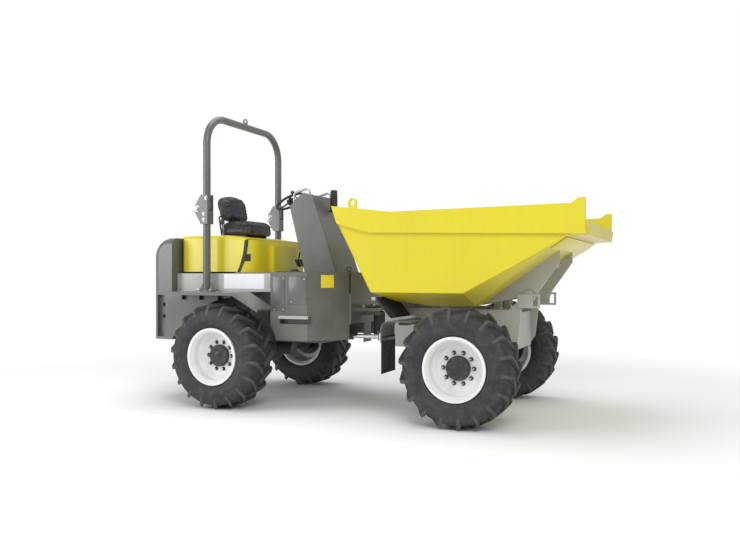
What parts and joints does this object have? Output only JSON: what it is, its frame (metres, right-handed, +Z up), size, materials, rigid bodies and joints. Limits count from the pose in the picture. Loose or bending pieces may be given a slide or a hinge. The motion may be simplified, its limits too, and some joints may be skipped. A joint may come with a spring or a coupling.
{
  "type": "articulated site dumper",
  "caption": "Articulated site dumper with a forward-tipping skip, folding roll bar, open driver's seat with console, tilting hood and large lugged tyres.",
  "frame": {"origin": "on the ground, on the centre line, at the middle of the overall length", "axes": "+X forwards towards the skip's lip, +Y to the driver's left, +Z up"},
  "size_m": [4.74, 2.215, 3.1879],
  "materials": {
    "dark_grey_paint": "satin",
    "light_grey_paint": "satin",
    "yellow_paint": "gloss",
    "black_iron": "satin",
    "polished_rod": "polished",
    "bright_steel": "satin",
    "black_plastic": "matte",
    "black_vinyl": "satin",
    "black_rubber": "matte",
    "lamp_red": "gloss",
    "tyre_rubber": "matte",
    "white_rim_paint": "gloss",
    "hub_black": "satin"
  },
  "bodies": {
    "rear_chassis": {"rear_frame": "dark_grey_paint", "counterweight": "dark_grey_paint", "rear_axle": "black_iron", "engine_block": "black_iron", "bay_panels": "light_grey_paint", "rear_fenders": "dark_grey_paint", "side_tanks": "dark_grey_paint", "deck_plate": "dark_grey_paint", "front_cowl": "yellow_paint", "console": "dark_grey_paint", "console_rails": "bright_steel", "work_lamp": "black_plastic", "steering_column": "black_plastic", "rops_posts": "dark_grey_paint", "tail_lamps": "lamp_red"},
    "hood": {"hood_shell": "yellow_paint", "seat_base": "black_plastic", "seat_cushion": "black_vinyl", "seat_back": "black_vinyl"},
    "roll_bar": {"rops_hoop": "dark_grey_paint"},
    "helm": {"steering_wheel": "black_plastic"},
    "knuckle": {"pivot_knuckle": "black_iron"},
    "front_chassis": {"front_frame": "light_grey_paint", "front_axle": "black_iron", "mudguards": "dark_grey_paint", "mud_flaps": "black_rubber", "deflectors": "black_rubber"},
    "skip": {"skip_tub": "yellow_paint", "skip_brackets": "light_grey_paint"},
    "tip_barrel": {"tip_barrels": "black_iron"},
    "tip_rod": {"tip_rods": "polished_rod"},
    "steer_cylinder": {"steer_barrel": "black_iron"},
    "steer_piston": {"steer_rod": "polished_rod"},
    "wheel_front_left": {"tyre_front_left": "tyre_rubber", "rim_front_left": "white_rim_paint", "hub_front_left": "hub_black"},
    "wheel_front_right": {"tyre_front_right": "tyre_rubber", "rim_front_right": "white_rim_paint", "hub_front_right": "hub_black"},
    "wheel_rear_left": {"tyre_rear_left": "tyre_rubber", "rim_rear_left": "white_rim_paint", "hub_rear_left": "hub_black"},
    "wheel_rear_right": {"tyre_rear_right": "tyre_rubber", "rim_rear_right": "white_rim_paint", "hub_rear_right": "hub_black"}
  },
  "joints": [
    {"name": "steer", "type": "hinge", "parent": "rear_chassis", "child": "knuckle", "pos_m": [0.08, 0, 0.83], "axis": [0, 0, 1], "range_deg": [-30, 30]},
    {"name": "oscillate", "type": "hinge", "parent": "knuckle", "child": "front_chassis", "pos_m": [0.08, 0, 0.83], "axis": [1, 0, 0], "range_deg": [-10, 10]},
    {"name": "skip_tip", "type": "hinge", "parent": "front_chassis", "child": "skip", "pos_m": [1.76, 0, 1.17], "axis": [0, 1, 0], "range_deg": [0, 70]},
    {"name": "tip_barrel_swing", "type": "hinge", "parent": "front_chassis", "child": "tip_barrel", "pos_m": [0.76, 0, 0.74], "axis": [0, -1, 0], "range_deg": [0, 18.55]},
    {"name": "tip_rod_slide", "type": "slide", "parent": "tip_barrel", "child": "tip_rod", "axis": [0.9104, 0, 0.4138], "range_m": [0, 0.3148]},
    {"name": "steer_cylinder_swing", "type": "hinge", "parent": "rear_chassis", "child": "steer_cylinder", "pos_m": [-0.56, -0.31, 0.735], "axis": [0, 0, 1], "range_deg": [-5.8, 5.8]},
    {"name": "steer_piston_slide", "type": "slide", "parent": "steer_cylinder", "child": "steer_piston", "axis": [0.9997, -0.0253, 0], "range_m": [-0.168, 0.168]},
    {"name": "roll_bar_fold", "type": "hinge", "parent": "rear_chassis", "child": "roll_bar", "pos_m": [-1.74, 0, 2.08], "axis": [0, -1, 0], "range_deg": [0, 100]},
    {"name": "hood_open", "type": "hinge", "parent": "rear_chassis", "child": "hood", "pos_m": [-2.085, 0, 1.786], "axis": [0, -1, 0], "range_deg": [0, 50]},
    {"name": "helm_turn", "type": "hinge", "parent": "rear_chassis", "child": "helm", "pos_m": [-1.04, 0, 2.2], "axis": [-0.5, 0, 0.866], "continuous": true},
    {"name": "roll_front_left", "type": "hinge", "parent": "front_chassis", "child": "wheel_front_left", "pos_m": [1.247, 0.905, 0.5375], "axis": [0, 1, 0], "continuous": true},
    {"name": "roll_front_right", "type": "hinge", "parent": "front_chassis", "child": "wheel_front_right", "pos_m": [1.247, -0.905, 0.5375], "axis": [0, 1, 0], "continuous": true},
    {"name": "roll_rear_left", "type": "hinge", "parent": "rear_chassis", "child": "wheel_rear_left", "pos_m": [-1.327, 0.905, 0.5375], "axis": [0, 1, 0], "continuous": true},
    {"name": "roll_rear_right", "type": "hinge", "parent": "rear_chassis", "child": "wheel_rear_right", "pos_m": [-1.327, -0.905, 0.5375], "axis": [0, 1, 0], "continuous": true}
  ],
  "couplings": [
    {"joint": "tip_barrel_swing", "follows": "skip_tip", "ratio": 0.26213},
    {"joint": "tip_rod_slide", "follows": "skip_tip", "m_per_rad": 0.25605},
    {"joint": "steer_cylinder_swing", "follows": "steer", "ratio": 0.18095},
    {"joint": "steer_piston_slide", "follows": "steer", "m_per_rad": 0.31811}
  ]
}
